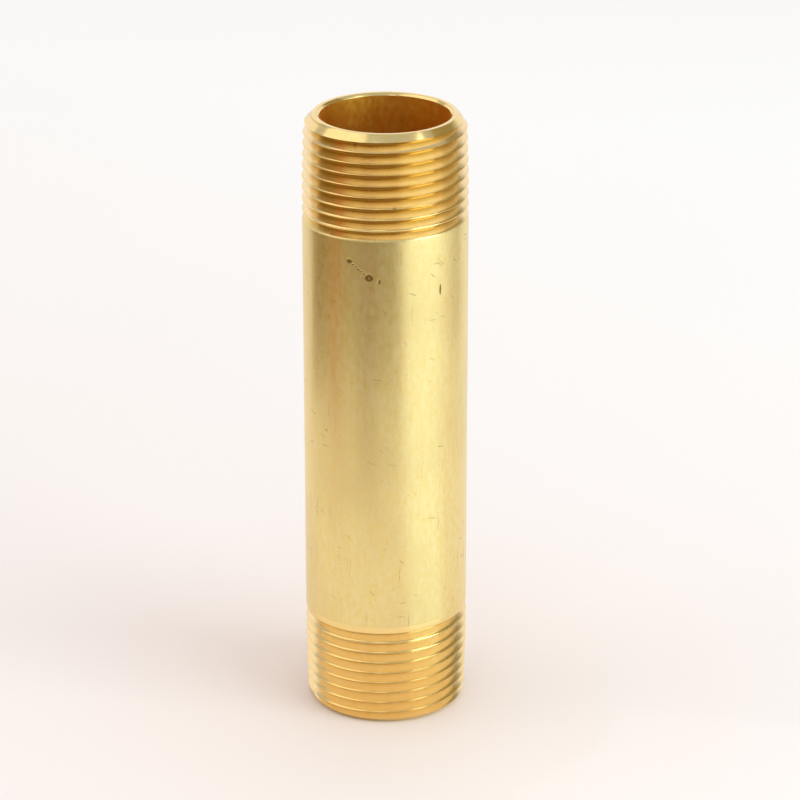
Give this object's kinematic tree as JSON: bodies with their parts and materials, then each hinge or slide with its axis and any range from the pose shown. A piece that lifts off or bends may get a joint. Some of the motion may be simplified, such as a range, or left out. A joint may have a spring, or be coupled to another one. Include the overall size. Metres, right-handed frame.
{
  "type": "pipe nipple",
  "caption": "Plain brass pipe nipple: a short straight length of tube, open right through, with a male taper pipe thread and a lead-in chamfer on each end.",
  "frame": {"origin": "centre of the lower end face, on the tube's axis, where the part stands", "axes": "+Z along the tube's axis, from the lower end face to the upper one; the thread's phase sets X"},
  "size_m": [0.0266, 0.0266, 0.1016],
  "materials": {
    "brass": "mill-finish satin barrel, bright machined threads"
  },
  "bodies": {
    "root": {"pipe_nipple": "brass"}
  },
  "joints": []
}
